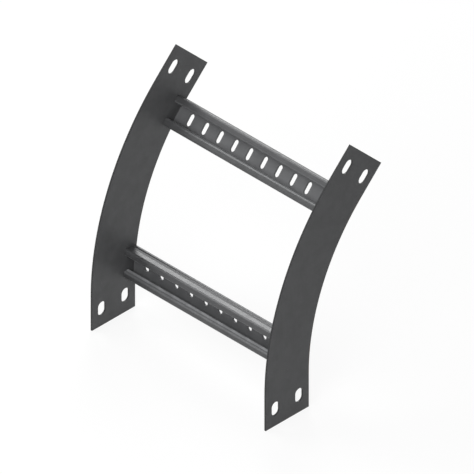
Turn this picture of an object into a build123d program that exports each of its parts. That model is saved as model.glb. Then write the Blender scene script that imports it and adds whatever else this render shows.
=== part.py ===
from build123d import *
from math import atan2, cos, degrees, radians, tan
import os

# Vertical outside bend of a cable ladder: two flat curved side plates with two channel rungs welded between them.
# All sizes are in millimetres and degrees.
# Origin: middle of the lower end, midway between the plates and midway across a plate.
# +X runs along the rungs, +Y from the cable side to the inside of the bend, +Z up along the lower straight end.

# The run of the ladder
bend_angle = 45.0
inner_radius = 300.0
end_straight = 50.0
inside_width = 293.0

# Side plates
rail_height = 73.5
plate_thickness = 2.5

# Slots for the coupler bolts, two at each end of each plate
joint_slot_length = 19.5
joint_slot_width = 12.5
joint_slot_spacing = 40.0
joint_slot_setback = 25.0

# Rungs: cold-rolled channel with in-turned lips and a shallow groove rolled along each side
rung_width = 41.0
rung_depth = 19.5
rung_thickness = 2.5
rung_bend_radius = 3.2
rung_lip_width = 9.75
rung_lip_return = 5.2
groove_flank_angle = 42.0
groove_rear_flat = 0.5
groove_front_run = 4.7
groove_floor_radius = 0.5

# Slots punched along the back of each rung
web_slot_length = 16.0
web_slot_width = 7.0
web_slot_pitch = 25.0
web_slot_end_margin = 15.0

# Seam welds on the back of each rung, where it lies flush with the plates' inner edges
weld_length = 32.0
weld_reach_on_rung = 3.0
weld_reach_on_plate = 1.8
weld_height = 1.2
weld_end_radius = 2.0

os.makedirs("parts", exist_ok=True)

outer_radius = inner_radius + rail_height
bend_centre = Vector(0, outer_radius - rail_height / 2, end_straight)
plate_inner_x = inside_width / 2

# The rungs sit with a back corner on each tangent line of the bend
rung_station = degrees(atan2(rung_width / 2, inner_radius))
rung_stations = {"lower": rung_station, "upper": bend_angle - rung_station}


def outward(station):
    """Unit vector from the bend's centre to the cable side, at an angle along the bend."""
    return Vector(0, -1, 0).rotate(Axis.X, -station)


def across_plate(x, station, end_shift=0.0):
    """Sketch plane that faces along X. Its x runs outward and its y runs down the rail towards the lower end."""
    out = outward(station)
    along = Vector(1, 0, 0).cross(out)
    origin = bend_centre + out * (inner_radius + rail_height / 2) - along * end_shift
    return Plane(origin=Vector(x, origin.Y, origin.Z), x_dir=out, z_dir=(1, 0, 0))


def side_plate(x_start):
    """One side plate, cut from flat sheet, with its inner or outer face at x_start."""
    with BuildPart() as plate:
        with BuildSketch(Plane.YZ.offset(x_start)):
            with BuildLine():
                foot = Line((-rail_height / 2, 0), (-rail_height / 2, end_straight))
                outer_bend = JernArc(foot @ 1, foot % 1, outer_radius, -bend_angle)
                outer_head = Line(outer_bend @ 1, outer_bend @ 1 + (outer_bend % 1) * end_straight)
                inner_foot = Line((rail_height / 2, 0), (rail_height / 2, end_straight))
                inner_bend = JernArc(inner_foot @ 1, inner_foot % 1, inner_radius, -bend_angle)
                inner_head = Line(inner_bend @ 1, inner_bend @ 1 + (inner_bend % 1) * end_straight)
                Line(foot @ 0, inner_foot @ 0)
                Line(outer_head @ 1, inner_head @ 1)
            make_face()
        extrude(amount=plate_thickness)

        # Distance of each slot pair past the tangent line of the bend, towards its own end
        past_tangent = end_straight - joint_slot_setback
        for station, shift in ((0, -past_tangent), (bend_angle, past_tangent)):
            with BuildSketch(across_plate(x_start, station, shift)):
                with GridLocations(joint_slot_spacing, 0, 2, 1):
                    SlotOverall(joint_slot_length, joint_slot_width, rotation=90)
            extrude(amount=plate_thickness, mode=Mode.SUBTRACT)
    return plate


def rung_plane(station, x=0.0):
    """Plane on a rung's flat back. Its x runs along the rung, its y up the rail and its z to the cable side."""
    centre = bend_centre + outward(station) * inner_radius
    return Plane(origin=Vector(x, centre.Y, centre.Z), x_dir=(1, 0, 0), z_dir=outward(station))


def rung(station):
    """One rung: the rolled section along X from plate to plate, with its row of punched slots."""
    half_width = rung_width / 2
    flank = radians(groove_flank_angle)

    # The back corner bends past a right angle, so that the sheet runs inward to the groove's floor
    back_tangent = rung_bend_radius * tan((radians(90) + flank) / 2)
    back_corner = half_width + back_tangent - rung_bend_radius
    floor_setback = (back_tangent + groove_rear_flat) * cos(flank)
    floor_offset = back_corner - floor_setback * tan(flank)
    half_skin = [
        (0, back_corner),
        (floor_setback, floor_offset),
        (floor_setback + groove_front_run, half_width),
        (rung_depth, half_width),
        (rung_depth, half_width - rung_lip_width),
        (rung_depth - rung_lip_return, half_width - rung_lip_width),
    ]
    other_half = [(out, -across) for out, across in reversed(half_skin)]
    half_radii = [rung_bend_radius, groove_floor_radius] + [rung_bend_radius] * 3

    out = outward(station)
    centre = bend_centre + out * inner_radius
    section = Plane(origin=Vector(-plate_inner_x, centre.Y, centre.Z), x_dir=out, z_dir=(1, 0, 0))
    with BuildPart() as profile:
        with BuildSketch(section):
            with BuildLine():
                FilletPolyline(other_half + half_skin, radius=half_radii[::-1] + half_radii)
                offset(amount=rung_thickness, kind=Kind.INTERSECTION, side=Side.RIGHT)
            make_face()
        extrude(amount=inside_width)

        slot_count = int((inside_width - 2 * web_slot_end_margin) / web_slot_pitch) + 1
        with BuildSketch(rung_plane(station)):
            with GridLocations(web_slot_pitch, 0, slot_count, 1):
                SlotOverall(web_slot_length, web_slot_width, rotation=90)
        extrude(amount=rung_thickness, mode=Mode.SUBTRACT)
    return profile


def seam_weld(station, side, plate, carried_rung):
    """Flat bead across the flush joint between a rung's back and a plate's inner edge, with rounded ends."""
    joint = rung_plane(station, side * plate_inner_x)
    bead_width = weld_reach_on_rung + weld_reach_on_plate
    bead_middle = side * (weld_reach_on_plate - weld_reach_on_rung) / 2
    crown_radius = (bead_width**2 / 4 + weld_height**2) / (2 * weld_height)
    with BuildPart() as bead:
        # The crown is a slice of a long cylinder that lies along the seam
        with BuildSketch(Plane(origin=joint.origin, x_dir=joint.x_dir, z_dir=joint.y_dir)):
            with Locations((bead_middle, weld_height - crown_radius)):
                Circle(crown_radius)
        extrude(amount=weld_length / 2, both=True)
        with BuildSketch(joint.offset(-weld_height)):
            with Locations((bead_middle, 0)):
                RectangleRounded(bead_width, weld_length, weld_end_radius)
        extrude(amount=weld_height, mode=Mode.INTERSECT)
        add(plate.part, mode=Mode.SUBTRACT)
        add(carried_rung.part, mode=Mode.SUBTRACT)
    return bead


side_plate_left = side_plate(-plate_inner_x - plate_thickness)
side_plate_left.part.label = "side_plate_left"
export_step(side_plate_left.part, "parts/side_plate_left.step")

side_plate_right = side_plate(plate_inner_x)
side_plate_right.part.label = "side_plate_right"
export_step(side_plate_right.part, "parts/side_plate_right.step")

for level, station in rung_stations.items():
    cross_rung = rung(station)
    cross_rung.part.label = f"rung_{level}"
    export_step(cross_rung.part, f"parts/rung_{level}.step")

    for hand, side, plate in (("left", -1, side_plate_left), ("right", 1, side_plate_right)):
        weld = seam_weld(station, side, plate, cross_rung)
        weld.part.label = f"weld_{level}_{hand}"
        export_step(weld.part, f"parts/weld_{level}_{hand}.step")
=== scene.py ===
"""Dresses the 45-degree bend of a cable ladder: steel finishes, weld beads, studio and camera.

Lengths are in metres and angles in degrees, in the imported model's frame: +X runs along the rungs from the
left plate to the right one, +Y from the cable side to the inside of the bend, and +Z up along the lower
straight end.
"""

import logging
import math
from dataclasses import dataclass
from enum import Enum
from functools import reduce

import bmesh
import bpy
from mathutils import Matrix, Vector


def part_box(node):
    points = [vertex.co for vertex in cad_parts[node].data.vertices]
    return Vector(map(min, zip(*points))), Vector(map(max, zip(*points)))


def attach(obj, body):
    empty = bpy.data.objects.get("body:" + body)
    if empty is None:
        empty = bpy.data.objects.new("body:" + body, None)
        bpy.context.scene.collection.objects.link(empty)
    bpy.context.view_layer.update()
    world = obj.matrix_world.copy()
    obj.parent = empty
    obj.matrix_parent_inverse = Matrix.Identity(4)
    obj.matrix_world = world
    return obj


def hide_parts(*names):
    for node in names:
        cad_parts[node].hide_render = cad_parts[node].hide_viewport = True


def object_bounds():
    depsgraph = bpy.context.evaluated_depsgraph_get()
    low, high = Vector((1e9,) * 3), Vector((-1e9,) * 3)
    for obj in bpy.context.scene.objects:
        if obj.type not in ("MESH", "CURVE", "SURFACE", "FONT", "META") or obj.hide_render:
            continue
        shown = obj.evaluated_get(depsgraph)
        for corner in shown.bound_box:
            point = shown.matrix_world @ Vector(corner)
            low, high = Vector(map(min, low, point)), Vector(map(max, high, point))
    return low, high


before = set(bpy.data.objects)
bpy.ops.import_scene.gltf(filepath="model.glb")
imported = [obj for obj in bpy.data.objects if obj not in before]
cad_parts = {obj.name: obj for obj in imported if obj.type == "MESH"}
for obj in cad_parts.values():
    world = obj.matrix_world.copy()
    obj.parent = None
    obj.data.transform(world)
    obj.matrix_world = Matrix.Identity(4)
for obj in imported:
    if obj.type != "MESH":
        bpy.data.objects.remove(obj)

CAD_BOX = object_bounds()
LOG = logging.getLogger("ladder_bend")
WHITE = (1.0, 1.0, 1.0, 1.0)
PLATE_NORMAL = Vector((1.0, 0.0, 0.0))

Colour = tuple[float, float, float]
Socket = bpy.types.NodeSocket


class Hand(Enum):
    """Which side plate a piece belongs to, as the sign of its X."""

    LEFT = -1
    RIGHT = 1


class Level(Enum):
    """The two rungs, by their place along the bend."""

    LOWER = "lower"
    UPPER = "upper"


class Grain(Enum):
    """How the rolling lines of a piece run, as the stretch of their noise along X, Y and Z."""

    ALONG_THE_RUNG = (0.02, 1.0, 1.0)
    UP_THE_PLATE = (1.0, 1.0, 0.03)


@dataclass(frozen=True)
class Bend:
    """The ladder's centreline geometry, which places the rungs and the welds."""

    angle: float = 45.0
    inner_radius: float = 0.300
    end_straight: float = 0.050
    rung_width: float = 0.041

    @property
    def centre(self) -> Vector:
        """The bend's centre, in the plane x = 0."""
        low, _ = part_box("side_plate_left")
        return Vector((0.0, low.y + self.rail_height + self.inner_radius, self.end_straight))

    @property
    def rail_height(self) -> float:
        """Height of a side plate, from the cable side to the inside of the bend."""
        return -2.0 * CAD_BOX[0][1]

    @property
    def inside_width(self) -> float:
        """Clear width between the side plates."""
        low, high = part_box("rung_lower")
        return high.x - low.x

    def station(self, level: Level) -> float:
        """Angle of a rung along the bend, in degrees from the lower tangent line."""
        from_tangent = math.degrees(math.atan2(self.rung_width / 2, self.inner_radius))
        return from_tangent if level is Level.LOWER else self.angle - from_tangent

    def axes(self, level: Level) -> tuple[Vector, Vector]:
        """Directions of a rung's section.

        Args:
            level: Which rung.

        Returns:
            The unit vector from the bend's centre outwards, and the one up the rail.
        """
        turn = math.radians(self.station(level))
        across, up = math.sin(turn), math.cos(turn)
        return Vector((0.0, -up, across)), Vector((0.0, across, up))

    def seam(self, level: Level, hand: Hand) -> "Seam":
        """The flush joint between a rung's back and a plate's inner edge.

        Args:
            level: Which rung.
            hand: Which plate.

        Returns:
            The seam's middle and directions.
        """
        outward, up_rail = self.axes(level)
        middle = self.centre + outward * self.inner_radius
        middle.x = hand.value * self.inside_width / 2
        return Seam(middle, up_rail, outward)


@dataclass(frozen=True)
class Seam:
    """A straight weld seam: where its middle is, how it runs and which way is into the joint."""

    middle: Vector
    along: Vector
    inward: Vector
    length: float = 0.032


class Nodes:
    """A node tree, with short calls that add nodes and join them."""

    def __init__(self, tree: bpy.types.NodeTree) -> None:
        """Takes the node tree of a material or of the world, and empties it."""
        self.tree = tree
        self.tree.nodes.clear()

    def add(
        self, kind: str, inputs: dict[str | int, object] | None = None, **settings: object
    ) -> bpy.types.Node:
        """Adds one node.

        Args:
            kind: Blender's name for the node type.
            inputs: Value, or socket to join, for each named or numbered input.
            settings: Properties of the node itself.

        Returns:
            The new node.
        """
        node = self.tree.nodes.new(kind)
        for name, value in settings.items():
            setattr(node, name, value)
        for key, value in (inputs or {}).items():
            if isinstance(value, Socket):
                self.tree.links.new(value, node.inputs[key])
            else:
                node.inputs[key].default_value = value
        return node

    def maths(self, operation: str, *values: object, clamp: bool = False) -> Socket:
        """Adds a Math node with the values as its inputs, and returns its output."""
        node = self.add("ShaderNodeMath", dict(enumerate(values)), operation=operation, use_clamp=clamp)
        return node.outputs[0]

    def vector(self, operation: str, *values: object) -> bpy.types.Node:
        """Adds a Vector Math node with the values as its inputs, and returns the node."""
        return self.add("ShaderNodeVectorMath", dict(enumerate(values)), operation=operation)

    def span(
        self, value: Socket, low: float, high: float, start: float = 0.0, end: float = 1.0
    ) -> Socket:
        """Maps one range of values smoothly to another.

        Args:
            value: The socket to map.
            low: Value that maps to start.
            high: Value that maps to end.
            start: Result at low and beyond it.
            end: Result at high and beyond it.

        Returns:
            The mapped value.
        """
        inputs = {"Value": value, "From Min": low, "From Max": high, "To Min": start, "To Max": end}
        node = self.add("ShaderNodeMapRange", inputs, interpolation_type="SMOOTHSTEP")
        return node.outputs["Result"]

    def product(self, values: list[Socket]) -> Socket:
        """Multiplies all the values together, in order."""
        return reduce(lambda total, value: self.maths("MULTIPLY", total, value), values)

    def scaled(self, vector: tuple[float, float, float], factor: Socket) -> Socket:
        """Multiplies a fixed vector or colour by a value.

        Args:
            vector: The vector or the colour.
            factor: The value.

        Returns:
            The product.
        """
        node = self.vector("SCALE", vector)
        self.tree.links.new(factor, node.inputs["Scale"])
        return node.outputs[0]

    def dot(self, place: Socket, direction: Vector) -> Socket:
        """How far a place lies along a unit vector."""
        return self.vector("DOT_PRODUCT", place, tuple(direction)).outputs["Value"]

    def noise(self, place: Socket, scale: float, detail: float = 3.0, roughness: float = 0.5) -> Socket:
        """Adds noise of about scale features per metre, and returns its value, 0.5 on average."""
        inputs = {"Vector": place, "Scale": scale, "Detail": detail, "Roughness": roughness}
        return self.add("ShaderNodeTexNoise", inputs).outputs["Fac"]

    def blend(self, share: object, first: object, second: object) -> Socket:
        """Mixes two colours.

        Args:
            share: How much of the second colour shows.
            first: Colour where the share is 0.
            second: Colour where the share is 1.

        Returns:
            The mixed colour.
        """
        node = self.add("ShaderNodeMix", {"Factor": share}, data_type="RGBA", blend_type="MIX")
        for socket, value in ((node.inputs[6], first), (node.inputs[7], second)):
            if isinstance(value, Socket):
                self.tree.links.new(value, socket)
            else:
                socket.default_value = (*value, 1.0)
        return node.outputs[2]


class Shader(Nodes):
    """The node tree of a new material."""

    def __init__(self, name: str) -> None:
        """Makes an empty material.

        Args:
            name: The material's name.
        """
        self.material = bpy.data.materials.new(name)
        self.material.use_nodes = True
        super().__init__(self.material.node_tree)


@dataclass(frozen=True)
class PaintedHighlightLine:
    """A painted highlight along the rung, by its place in the section."""

    out: float
    across: float
    brightness: float


@dataclass(frozen=True)
class SectionWithPaintedLight:
    """A rung's section, with painted light on it: painted highlights along its bends and returns, and the
    channel's inside, which is also matt, painted lighter against the shade that falls in it.
    """

    centre: Vector
    outward: Vector
    up_rail: Vector
    # each line is a painted highlight along a bend or a return of the section
    painted_highlight_lines: tuple[PaintedHighlightLine, ...] = (
        PaintedHighlightLine(0.0, 0.0215, 1.80),
        PaintedHighlightLine(0.0195, 0.0205, 1.15),
        PaintedHighlightLine(0.0195, 0.01075, 1.85),
        PaintedHighlightLine(0.0140, 0.01075, 4.60),
    )
    highlight_core: float = 0.001302
    highlight_reach: float = 0.0031
    depth: float = 0.0195
    half_width: float = 0.0205
    back_skin: tuple[float, float] = (0.0006, 0.0020)
    lip_skin: tuple[float, float] = (0.0003, 0.0015)
    side_skin: tuple[float, float] = (0.0005, 0.0018)
    # how much lighter the channel's inside is painted, against the shade that falls in it
    painted_light_inside: float = 1.90
    inside_roughness: float = 0.75

    def section_place(self, shader: Shader, place: Socket) -> tuple[Socket, Socket]:
        """Finds a place in the section.

        Args:
            shader: The tree to add to.
            place: Coordinates on the piece.

        Returns:
            The distance out from the rung's back, and the one to either side of its middle.
        """
        offset = shader.vector("SUBTRACT", place, tuple(self.centre)).outputs[0]
        across = shader.maths("ABSOLUTE", shader.dot(offset, self.up_rail))
        return shader.dot(offset, self.outward), across

    def inside(self, shader: Shader, place: Socket) -> Socket:
        """Tells the channel's inner faces from its outer ones.

        Args:
            shader: The tree to add to.
            place: Coordinates on the piece.

        Returns:
            1 inside the channel and 0 on its outer faces.
        """
        out, across = self.section_place(shader, place)
        past_back = shader.span(out, *self.back_skin)
        behind_lips = shader.span(out, *(self.depth - skin for skin in self.lip_skin))
        between_sides = shader.span(across, *(self.half_width - skin for skin in self.side_skin))
        return shader.maths("MULTIPLY", shader.maths("MULTIPLY", past_back, behind_lips), between_sides)

    def tone(self, shader: Shader, place: Socket) -> Socket:
        """Painted light on the strip by its place in the section: the channel's inside painted lighter
        against its shade, and painted highlights along the bends and returns.

        Args:
            shader: The tree to add to.
            place: Coordinates on the piece.

        Returns:
            A factor for the strip's colour, 1 on its plain outer faces.
        """
        out, across = self.section_place(shader, place)
        # the channel's inside painted lighter against its shade
        tone = shader.span(self.inside(shader, place), 0.0, 1.0, 1.0, self.painted_light_inside)
        # painted highlights along the bends and returns
        for line in self.painted_highlight_lines:
            legs = (shader.maths("SUBTRACT", out, line.out), shader.maths("SUBTRACT", across, line.across))
            squares = [shader.maths("MULTIPLY", leg, leg) for leg in legs]
            distance = shader.maths("SQRT", shader.maths("ADD", *squares))
            near = shader.span(distance, self.highlight_core, self.highlight_reach, line.brightness, 1.0)
            tone = shader.maths("MAXIMUM", tone, near)
        return tone


@dataclass(frozen=True)
class LipReturn:
    """The in-turned edges of a rung's lips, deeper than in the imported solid, as the photograph shows."""

    section: SectionWithPaintedLight
    packed: float = 0.0052
    drawn: float = 0.0081
    snap: float = 0.0003

    def deepen(self, piece: bpy.types.Object) -> None:
        """Moves the cut ends of both returns towards the rung's back.

        Args:
            piece: The rung, whose own mesh stays as it is.
        """
        ends = piece.vertex_groups.new(name="return_ends")
        ends.add([vert.index for vert in piece.data.vertices if self.is_end(vert.co)], 1.0, "REPLACE")
        for axis, step in zip("XYZ", self.section.outward * (self.packed - self.drawn)):
            if step:
                shift = piece.modifiers.new(f"deeper_return_{axis}", "DISPLACE")
                shift.vertex_group = ends.name
                shift.direction = axis
                shift.mid_level = 0.0
                shift.strength = step

    def is_end(self, place: Vector) -> bool:
        """Tells whether a corner of the mesh lies on the cut end of a return."""
        out = (place - self.section.centre).dot(self.section.outward)
        return abs(out - (self.section.depth - self.packed)) < self.snap


@dataclass(frozen=True)
class SteelFinish:
    """Dark satin steel: soft cloudy tone, fine rolling lines, a few scuffs, and darker cut edges; on a
    rung, also the painted light of its section.
    """

    name: str
    colour: Colour
    grain: Grain
    metallic: float = 0.08
    specular: float = 0.16
    roughness: float = 0.44
    cloud_size: float = 0.018
    cloud_spread: tuple[float, float] = (0.25, 0.75)
    cloud_contrast: float = 0.10
    cloud_roughness: tuple[float, float] = (-0.04, 0.05)
    noise_spread: tuple[float, float] = (0.2, 0.8)
    grain_pitch: float = 0.0006
    grain_contrast: float = 0.04
    grain_depth: float = 0.0000016
    relief: float = 0.5
    scuff_brightness: float = 1.18
    scuff_polish: float = 0.10
    scuff_stretch: tuple[float, float, float] = (0.25, 1.0, 0.6)
    scuff_bend: float = 0.02
    scuff_bend_scale: float = 22.0
    scuff_scale: float = 420.0
    scuff_threshold: tuple[float, float] = (0.70, 0.76)
    scuff_patch_scale: float = 30.0
    scuff_patch_threshold: tuple[float, float] = (0.55, 0.68)
    edge_width: float = 0.0013
    edge_shade: float = 0.60
    edge_agreement: tuple[float, float] = (0.998, 0.88)
    sheared_shade: float = 1.0
    sheared_facing: tuple[float, float] = (0.80, 0.35)
    seams: tuple[Seam, ...] = ()
    tint_reach: float = 0.008
    tint_depth_share: float = 0.22
    straw: Colour = (0.16, 0.105, 0.055)
    straw_band: tuple[float, float] = (0.55, 1.0)
    straw_strength: float = 0.45
    blue: Colour = (0.045, 0.055, 0.085)
    blue_band: tuple[float, float] = (0.30, 0.62)
    blue_strength: float = 0.55
    # a rung's section, whose painted highlights and painted inside light the finish carries
    section_with_light: SectionWithPaintedLight | None = None

    def material(self) -> bpy.types.Material:
        """Builds the finish.

        Returns:
            The new material.
        """
        shader = Shader(self.name)
        place = shader.add("ShaderNodeTexCoord").outputs["Object"]
        stretch = shader.vector("MULTIPLY", place, self.grain.value).outputs[0]
        lines = shader.noise(stretch, 1.0 / self.grain_pitch, detail=2.0, roughness=0.6)
        clouds = shader.noise(place, 1.0 / self.cloud_size, detail=4.0, roughness=0.55)
        scuffs = self.scuffs(shader, place)

        shades = [
            shader.span(clouds, *self.cloud_spread, 1.0 - self.cloud_contrast, 1.0 + self.cloud_contrast),
            shader.span(lines, *self.noise_spread, 1.0 - self.grain_contrast, 1.0 + self.grain_contrast),
            shader.span(scuffs, 0.0, 1.0, 1.0, self.scuff_brightness),
            shader.span(self.edge_band(shader), 0.0, 1.0, 1.0, self.edge_shade),
        ]
        # painted light on a rung: its channel's inside painted lighter against the shade there, and painted
        # highlights along its bends and returns
        if self.section_with_light is not None:
            shades.append(self.section_with_light.tone(shader, place))
        if self.sheared_shade < 1.0:
            shades.append(shader.span(self.sheared_face(shader), 0.0, 1.0, 1.0, self.sheared_shade))
        colour = shader.scaled(self.colour, shader.product(shades))

        change_low, change_high = self.cloud_roughness
        rough = shader.span(
            clouds, *self.noise_spread, self.roughness + change_low, self.roughness + change_high
        )
        polish = shader.maths("MULTIPLY", scuffs, self.scuff_polish)
        rough = shader.maths("SUBTRACT", rough, polish, clamp=True)
        if self.section_with_light is not None:
            inside = self.section_with_light.inside(shader, place)
            matt = shader.maths("MULTIPLY", inside, self.section_with_light.inside_roughness)
            rough = shader.maths("MAXIMUM", rough, matt)
        relief = {"Height": lines, "Strength": self.relief, "Distance": self.grain_depth}
        surface = {
            "Base Color": self.heat_tint(shader, place, colour),
            "Metallic": self.metallic,
            "Specular IOR Level": self.specular,
            "Roughness": rough,
            "Normal": shader.add("ShaderNodeBump", relief).outputs["Normal"],
        }
        body = shader.add("ShaderNodeBsdfPrincipled", surface)
        shader.add("ShaderNodeOutputMaterial", {"Surface": body.outputs["BSDF"]})
        return shader.material

    def scuffs(self, shader: Shader, place: Socket) -> Socket:
        """Thin handling marks, in a few patches.

        Args:
            shader: The tree to add to.
            place: Coordinates on the piece.

        Returns:
            1 on a mark and 0 elsewhere.
        """
        stretched = shader.vector("MULTIPLY", place, self.scuff_stretch).outputs[0]
        waver = shader.noise(place, self.scuff_bend_scale, detail=2.0)
        bent = shader.vector("ADD", stretched, shader.maths("MULTIPLY", waver, self.scuff_bend)).outputs[0]
        marks = shader.span(shader.noise(bent, self.scuff_scale, detail=1.0), *self.scuff_threshold)
        handled = shader.noise(place, self.scuff_patch_scale, detail=1.0)
        return shader.maths("MULTIPLY", marks, shader.span(handled, *self.scuff_patch_threshold))

    def edge_band(self, shader: Shader) -> Socket:
        """The strip beside each sharp edge, on outer edges and in hollow joints alike, which is made
        darker.

        Args:
            shader: The tree to add to.

        Returns:
            1 on an edge, falling to 0 at the edge's width from it.
        """
        rounded = shader.add("ShaderNodeBevel", {"Radius": self.edge_width}, samples=6).outputs["Normal"]
        flat = shader.add("ShaderNodeNewGeometry").outputs["Normal"]
        agreement = shader.vector("DOT_PRODUCT", rounded, flat).outputs["Value"]
        return shader.span(agreement, *self.edge_agreement)

    def sheared_face(self, shader: Shader) -> Socket:
        """The cut faces of a flat plate, which lie square to its two broad faces.

        Args:
            shader: The tree to add to.

        Returns:
            1 on a cut face and 0 on a broad one.
        """
        facing = shader.add("ShaderNodeTexCoord").outputs["Normal"]
        broad = shader.maths("ABSOLUTE", shader.dot(facing, PLATE_NORMAL))
        return shader.span(broad, *self.sheared_facing)

    def heat_tint(self, shader: Shader, place: Socket, bare: Socket) -> Socket:
        """Straw and blue-grey bands that welding leaves beside each seam.

        Args:
            shader: The tree to add to.
            place: Coordinates on the piece.
            bare: Colour of the metal away from the seams.

        Returns:
            The colour with its tints.
        """
        colour = bare
        for seam in self.seams:
            distance = self.seam_distance(shader, place, seam)
            straw_from, straw_to = (self.tint_reach * share for share in self.straw_band)
            straw = shader.span(distance, straw_from, straw_to, self.straw_strength, 0.0)
            blue_from, blue_to = (self.tint_reach * share for share in self.blue_band)
            blue = shader.span(distance, blue_from, blue_to, self.blue_strength, 0.0)
            colour = shader.blend(straw, colour, self.straw)
            colour = shader.blend(blue, colour, self.blue)
        return colour

    def seam_distance(self, shader: Shader, place: Socket, seam: Seam) -> Socket:
        """Distance to a seam, which counts for more into the joint, where the heat goes less deep.

        Args:
            shader: The tree to add to.
            place: Coordinates on the piece.
            seam: The seam.

        Returns:
            The distance.
        """
        offset = shader.vector("SUBTRACT", place, tuple(seam.middle)).outputs[0]
        run = shader.maths("MAXIMUM", shader.dot(offset, seam.along), -seam.length / 2)
        nearest = shader.scaled(tuple(seam.along), shader.maths("MINIMUM", run, seam.length / 2))
        away = shader.vector("SUBTRACT", offset, nearest).outputs[0]
        extra = 1.0 / self.tint_depth_share - 1.0
        lengthened = shader.maths("MULTIPLY", shader.dot(offset, seam.inward), extra)
        away = shader.vector("ADD", away, shader.scaled(tuple(seam.inward), lengthened)).outputs[0]
        return shader.vector("LENGTH", away).outputs["Value"]


@dataclass(frozen=True)
class BeadFinish:
    """Weld metal: dull grey, a little brown in broad patches, with a fine oxide grain."""

    name: str = "weld_metal"
    colour: Colour = (0.105, 0.103, 0.100)
    toe_colour: Colour = (0.050, 0.042, 0.036)
    metallic: float = 0.8
    roughness: float = 0.48
    oxide_grain: float = 2600.0
    oxide_relief: float = 0.5
    oxide_depth: float = 0.00003
    oxide_spread: tuple[float, float] = (0.3, 0.7)
    oxide_roughness: tuple[float, float] = (-0.08, 0.10)
    patch_scale: float = 240.0
    patch_threshold: tuple[float, float] = (0.42, 0.72)

    def material(self) -> bpy.types.Material:
        """Builds the finish.

        Returns:
            The new material.
        """
        shader = Shader(self.name)
        place = shader.add("ShaderNodeTexCoord").outputs["Object"]
        fine = shader.noise(place, self.oxide_grain)
        broad = shader.noise(place, self.patch_scale)
        change_low, change_high = self.oxide_roughness
        relief = {"Height": fine, "Strength": self.oxide_relief, "Distance": self.oxide_depth}
        surface = {
            "Base Color": shader.blend(
                shader.span(broad, *self.patch_threshold), self.colour, self.toe_colour
            ),
            "Metallic": self.metallic,
            "Roughness": shader.span(
                fine, *self.oxide_spread, self.roughness + change_low, self.roughness + change_high
            ),
            "Normal": shader.add("ShaderNodeBump", relief).outputs["Normal"],
        }
        body = shader.add("ShaderNodeBsdfPrincipled", surface)
        shader.add("ShaderNodeOutputMaterial", {"Surface": body.outputs["BSDF"]})
        return shader.material


@dataclass
class SheetPiece:
    """A CAD piece of sheet steel. Modifiers deburr its edges and deepen a rung's returns."""

    node: str
    finish: SteelFinish
    lip_return: LipReturn | None = None
    edge_radius: float = 0.00025
    edge_steps: int = 2
    sharp_angle: float = 38.0
    flat_angle: float = 0.2
    flat_weight: int = 90
    join_distance: float = 1e-6

    def dress(self) -> bpy.types.Object:
        """Puts the finish on the CAD node, and its modifiers, which leave its own mesh as it is.

        Returns:
            The dressed node.
        """
        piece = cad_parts[self.node]
        piece.data.materials.clear()
        piece.data.materials.append(self.finish.material())
        if self.lip_return is not None:
            self.lip_return.deepen(piece)
        corners = piece.modifiers.new("joined_corners", "WELD")
        corners.merge_threshold = self.join_distance
        flats = piece.modifiers.new("whole_flats", "DECIMATE")
        flats.decimate_type = "DISSOLVE"
        flats.angle_limit = math.radians(self.flat_angle)
        edges = piece.modifiers.new("deburred_edges", "BEVEL")
        edges.width = self.edge_radius
        edges.segments = self.edge_steps
        edges.limit_method = "ANGLE"
        edges.angle_limit = math.radians(self.sharp_angle)
        edges.harden_normals = True
        shading = piece.modifiers.new("flat_faces_lead", "WEIGHTED_NORMAL")
        shading.mode = "FACE_AREA"
        shading.weight = self.flat_weight
        shading.keep_sharp = True
        return piece


@dataclass(frozen=True)
class Wave:
    """One sideways sway of the welder's hand along a seam."""

    reach: float
    radians_per_metre: float
    start: float

    def at(self, distance: float) -> float:
        """How far the sway carries the bead at a distance along the seam."""
        return self.reach * math.sin(distance * self.radians_per_metre + self.start)


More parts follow.
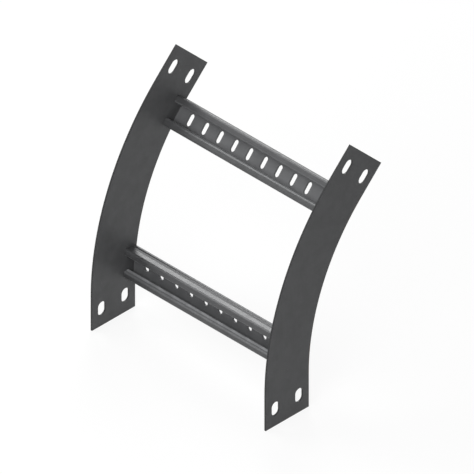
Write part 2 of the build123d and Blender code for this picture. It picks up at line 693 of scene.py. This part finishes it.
@dataclass
class SeamBead:
    """A weld bead over one seam: a crowned strip of ripples that replaces the plain CAD bead."""

    name: str
    node: str
    seam: Seam
    hand: Hand
    material: bpy.types.Material
    width: float = 0.0048
    centre_shift: float = -0.0006
    height: float = 0.0012
    sunk: float = 0.0004
    ripple_pitch: float = 0.0016
    ripple_height: float = 0.00030
    steps_per_ripple: int = 8
    steps_across: int = 20
    ripple_bow: float = 0.55
    ripple_fall: float = 1.6
    end_run_share: float = 0.55
    end_width_share: float = 0.35
    end_height_share: float = 0.25
    waves: tuple[Wave, ...] = (Wave(0.00010, 900.0, 0.0), Wave(0.00007, 2300.0, 1.3))
    wander_side_share: float = 0.8

    def build(self) -> bpy.types.Object:
        """Builds, dresses and attaches the bead.

        Returns:
            The new piece.
        """
        mesh = bpy.data.meshes.new(self.name)
        grid = self.fill()
        grid.to_mesh(mesh)
        grid.free()
        for face in mesh.polygons:
            face.use_smooth = True
        piece = bpy.data.objects.new(self.name, mesh)
        bpy.context.scene.collection.objects.link(piece)
        mesh.materials.append(self.material)
        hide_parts(self.node)
        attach(piece, "root")
        return piece

    def fill(self) -> bmesh.types.BMesh:
        """Makes the closed skin of the bead.

        Returns:
            The bead's faces, in the model's frame.
        """
        steps = round(self.seam.length / self.ripple_pitch) * self.steps_per_ripple
        skin = bmesh.new()
        rows = []
        for i in range(steps + 1):
            run = i / steps
            shares = [j / self.steps_across for j in range(self.steps_across + 1)]
            rows.append([skin.verts.new(self.point(run, across)) for across in shares])
        for near, far in zip(rows, rows[1:]):
            for j in range(self.steps_across):
                skin.faces.new((near[j], near[j + 1], far[j + 1], far[j]))
        rim = [row[0] for row in rows] + rows[-1][1:] + [row[-1] for row in rows[-2::-1]] + rows[0][-2:0:-1]
        base = [skin.verts.new(vert.co + self.seam.inward * self.sunk) for vert in rim]
        for k, vert in enumerate(rim):
            following = (k + 1) % len(rim)
            skin.faces.new((vert, rim[following], base[following], base[k]))
        skin.faces.new(base)
        bmesh.ops.recalc_face_normals(skin, faces=skin.faces)
        return skin

    def point(self, run: float, across: float) -> Vector:
        """A point of the bead's upper skin.

        Args:
            run: Share of the seam's length, from 0 to 1.
            across: Share of the bead's width, from 0 to 1.

        Returns:
            The point, in the model's frame.
        """
        side = 2.0 * across - 1.0
        distance = run * self.seam.length
        end = min(distance, self.seam.length - distance)
        taper_run = self.width * self.end_run_share
        taper = math.sqrt(max(0.0, 1.0 - (1.0 - min(end / taper_run, 1.0)) ** 2))
        narrowing = self.end_width_share + (1.0 - self.end_width_share) * taper
        rise = self.end_height_share + (1.0 - self.end_height_share) * taper
        crown = (1.0 - side * side) * self.height * rise
        phase = (distance / self.ripple_pitch + self.ripple_bow * side * side) % 1.0
        ripple = self.ripple_height * (1.0 - phase) ** self.ripple_fall * (1.0 - side**4) * taper
        wander = sum(wave.at(distance) for wave in self.waves)
        offset = self.hand.value * self.centre_shift + side * self.width / 2 * narrowing
        offset += wander * (1.0 - abs(side)) + wander * self.wander_side_share * abs(side)
        centre = self.seam.middle + self.seam.along * (distance - self.seam.length / 2)
        return centre + Vector((offset, 0.0, 0.0)) - self.seam.inward * (crown + ripple)


@dataclass(frozen=True)
class SoftLamp:
    """A round soft lamp that points at a place on the part."""

    name: str
    direction: tuple[float, float, float]
    power: float
    size: float
    distance: float = 1.6

    def build(self, aim: Vector) -> bpy.types.Object:
        """Adds the lamp.

        Args:
            aim: The place it points at.

        Returns:
            The lamp.
        """
        data = bpy.data.lights.new(self.name, "AREA")
        data.shape = "DISK"
        data.size = self.size
        data.energy = self.power
        lamp = bpy.data.objects.new(self.name, data)
        away = Vector(self.direction).normalized()
        lamp.location = aim + away * self.distance
        lamp.rotation_euler = away.to_track_quat("Z", "Y").to_euler()
        bpy.context.scene.collection.objects.link(lamp)
        return lamp


@dataclass
class Studio:
    """A plain pale floor, a pale surround and soft lamps."""

    aim: Vector
    floor_level: float = 0.0
    floor_size: float = 12.0
    floor_colour: Colour = (0.86, 0.86, 0.86)
    surround: float = 0.15
    shadow_share: float = 0.14
    lamps: tuple[SoftLamp, ...] = (
        SoftLamp("front_right_lamp", (0.333, -0.714, 0.616), 23.0, 1.2),
        SoftLamp("upper_left_lamp", (-0.56, -0.22, 0.80), 11.0, 1.0),
        SoftLamp("back_left_lamp", (-0.58, 0.58, 0.57), 14.0, 0.85),
    )

    def build(self) -> None:
        """Adds the floor, the surround and the lamps."""
        self.lay_floor()
        self.light_surround()
        for lamp in self.lamps:
            lamp.build(self.aim)

    def lay_floor(self) -> None:
        """Adds the floor, which shows its shadows faintly on white."""
        mesh = bpy.data.meshes.new("floor")
        plane = bmesh.new()
        bmesh.ops.create_grid(plane, x_segments=1, y_segments=1, size=self.floor_size / 2)
        plane.to_mesh(mesh)
        plane.free()
        floor = bpy.data.objects.new("floor", mesh)
        floor.location.z = self.floor_level
        bpy.context.scene.collection.objects.link(floor)
        shader = Shader("pale_floor")
        matt = shader.add("ShaderNodeBsdfDiffuse", {"Color": (*self.floor_colour, 1.0)})
        white = shader.add("ShaderNodeEmission", {"Color": WHITE, "Strength": 1.0})
        seen = self.seen_directly(shader)
        share = shader.maths("MULTIPLY", seen, 1.0 - self.shadow_share)
        mixed = shader.add("ShaderNodeMixShader", {0: share, 1: matt.outputs[0], 2: white.outputs[0]})
        shader.add("ShaderNodeOutputMaterial", {"Surface": mixed.outputs[0]})
        mesh.materials.append(shader.material)

    def light_surround(self) -> None:
        """Lights the part evenly from all round, with white where rays see past it."""
        world = bpy.data.worlds.new("pale_surround")
        world.use_nodes = True
        nodes = Nodes(world.node_tree)
        shed = nodes.add("ShaderNodeBackground", {"Color": WHITE, "Strength": self.surround})
        shown = nodes.add("ShaderNodeBackground", {"Color": WHITE, "Strength": 1.0})
        seen = self.seen_directly(nodes)
        mixed = nodes.add("ShaderNodeMixShader", {0: seen, 1: shed.outputs[0], 2: shown.outputs[0]})
        nodes.add("ShaderNodeOutputWorld", {"Surface": mixed.outputs[0]})
        bpy.context.scene.world = world

    def seen_directly(self, nodes: Nodes) -> Socket:
        """Tells the camera's, mirrors' and glass's view of a surface from the light that it sheds.

        Args:
            nodes: The tree to add to.

        Returns:
            1 for those rays and 0 for the rest.
        """
        rays = nodes.add("ShaderNodeLightPath").outputs
        either = nodes.maths("MAXIMUM", rays["Is Camera Ray"], rays["Is Glossy Ray"])
        return nodes.maths("MAXIMUM", either, rays["Is Transmission Ray"])


@dataclass
class DrawingCamera:
    """A camera with no perspective, which looks down from an isometric corner."""

    aim: Vector
    azimuth: float = 45.0
    elevation: float = math.degrees(math.atan(math.sqrt(0.5)))
    view_width: float = 0.5702
    distance: float = 2.0
    farthest: float = 20.0

    def build(self) -> bpy.types.Object:
        """Adds the camera and makes it the scene's own.

        Returns:
            The camera.
        """
        data = bpy.data.cameras.new("camera")
        data.type = "ORTHO"
        data.ortho_scale = self.view_width
        data.clip_end = self.farthest
        turn, lift = math.radians(self.azimuth), math.radians(self.elevation)
        back = Vector((math.sin(turn) * math.cos(lift), -math.cos(turn) * math.cos(lift), math.sin(lift)))
        camera = bpy.data.objects.new("camera", data)
        camera.location = self.aim + back * self.distance
        camera.rotation_euler = back.to_track_quat("Z", "Y").to_euler()
        bpy.context.scene.collection.objects.link(camera)
        bpy.context.scene.camera = camera
        return camera


def main() -> None:
    """Dresses every piece, then sets up the studio and the camera."""
    logging.basicConfig(level=logging.INFO, format="%(name)s: %(message)s")
    bend = Bend()
    plate_steel: Colour = (0.076, 0.077, 0.079)
    strip_steel: Colour = (0.063, 0.064, 0.066)
    for hand in Hand:
        node = f"side_plate_{hand.name.lower()}"
        seams = tuple(bend.seam(level, hand) for level in Level)
        finish = SteelFinish(
            f"{node}_steel", plate_steel, Grain.UP_THE_PLATE, sheared_shade=0.42, seams=seams
        )
        LOG.info("dressed %s", SheetPiece(node, finish).dress().name)
    for level in Level:
        node = f"rung_{level.value}"
        seams = tuple(bend.seam(level, hand) for hand in Hand)
        outward, up_rail = bend.axes(level)
        # the rung's section, which also carries its painted highlights and painted inside light
        section_with_light = SectionWithPaintedLight(bend.centre + outward * bend.inner_radius, outward, up_rail)
        finish = SteelFinish(
            f"{node}_steel",
            strip_steel,
            Grain.ALONG_THE_RUNG,
            metallic=0.30,
            specular=0.45,
            roughness=0.38,
            relief=0.25,
            seams=seams,
            section_with_light=section_with_light,
        )
        LOG.info("dressed %s", SheetPiece(node, finish, lip_return=LipReturn(section_with_light)).dress().name)
    bead_metal = BeadFinish().material()
    for level in Level:
        for hand in Hand:
            node = f"weld_{level.value}_{hand.name.lower()}"
            bead = SeamBead(node.replace("weld", "bead"), node, bend.seam(level, hand), hand, bead_metal)
            LOG.info("built %s", bead.build().name)
    aim = Vector((0.0128, 0.0506, 0.1746))
    Studio(aim).build()
    DrawingCamera(aim).build()
    bpy.context.scene.view_settings.view_transform = "Standard"


if __name__ == "__main__":
    main()
